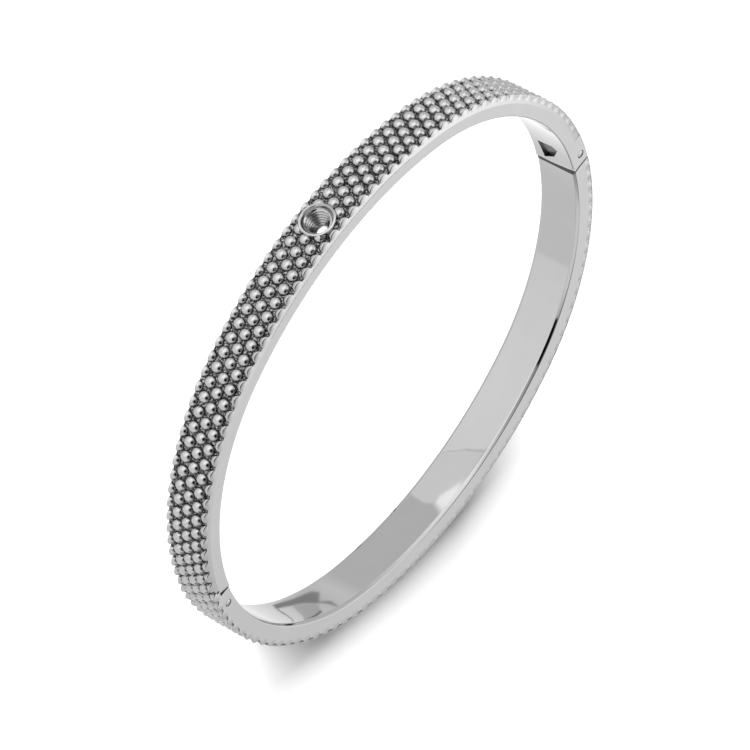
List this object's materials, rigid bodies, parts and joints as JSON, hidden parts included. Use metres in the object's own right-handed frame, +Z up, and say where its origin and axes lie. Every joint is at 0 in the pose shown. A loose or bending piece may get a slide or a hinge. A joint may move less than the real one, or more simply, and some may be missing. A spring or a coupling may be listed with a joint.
{
  "type": "hinged bangle bracelet",
  "caption": "Slim oval bangle with a smooth inside, rows of small round studs outside, a threaded seat for a screw-in top, a pin hinge and a plug-in clasp.",
  "frame": {"origin": "middle of the oval, on the side face that the bangle rests on", "axes": "+X along the oval's long axis towards the hinge, +Y towards the middle of the upper half with the screw seat, +Z up across the band's width"},
  "size_m": [0.0652, 0.056, 0.0052],
  "materials": {
    "upper_band": "polished stainless steel",
    "lower_band": "polished stainless steel",
    "upper_studs": "polished stainless steel, cast in small round studs",
    "lower_studs": "polished stainless steel, cast in small round studs",
    "screw_seat": "polished stainless steel, turned",
    "hinge_pin": "polished stainless steel, ground flush",
    "hinge_knuckle": "polished stainless steel",
    "catch_pin": "polished stainless steel, ground flush",
    "clasp_tongue": "polished stainless steel"
  },
  "bodies": {
    "upper_half": {"upper_band": "upper_band", "upper_studs": "upper_studs", "screw_seat": "screw_seat", "hinge_pin": "hinge_pin", "clasp_tongue": "clasp_tongue"},
    "lower_half": {"lower_band": "lower_band", "lower_studs": "lower_studs", "hinge_knuckle": "hinge_knuckle", "catch_pin": "catch_pin"}
  },
  "joints": [
    {"name": "opening", "type": "hinge", "parent": "upper_half", "child": "lower_half", "pos_m": [0.03153, -0.00165, 0.0026], "axis": [0, 0, 1], "range_deg": [0, 60]}
  ]
}
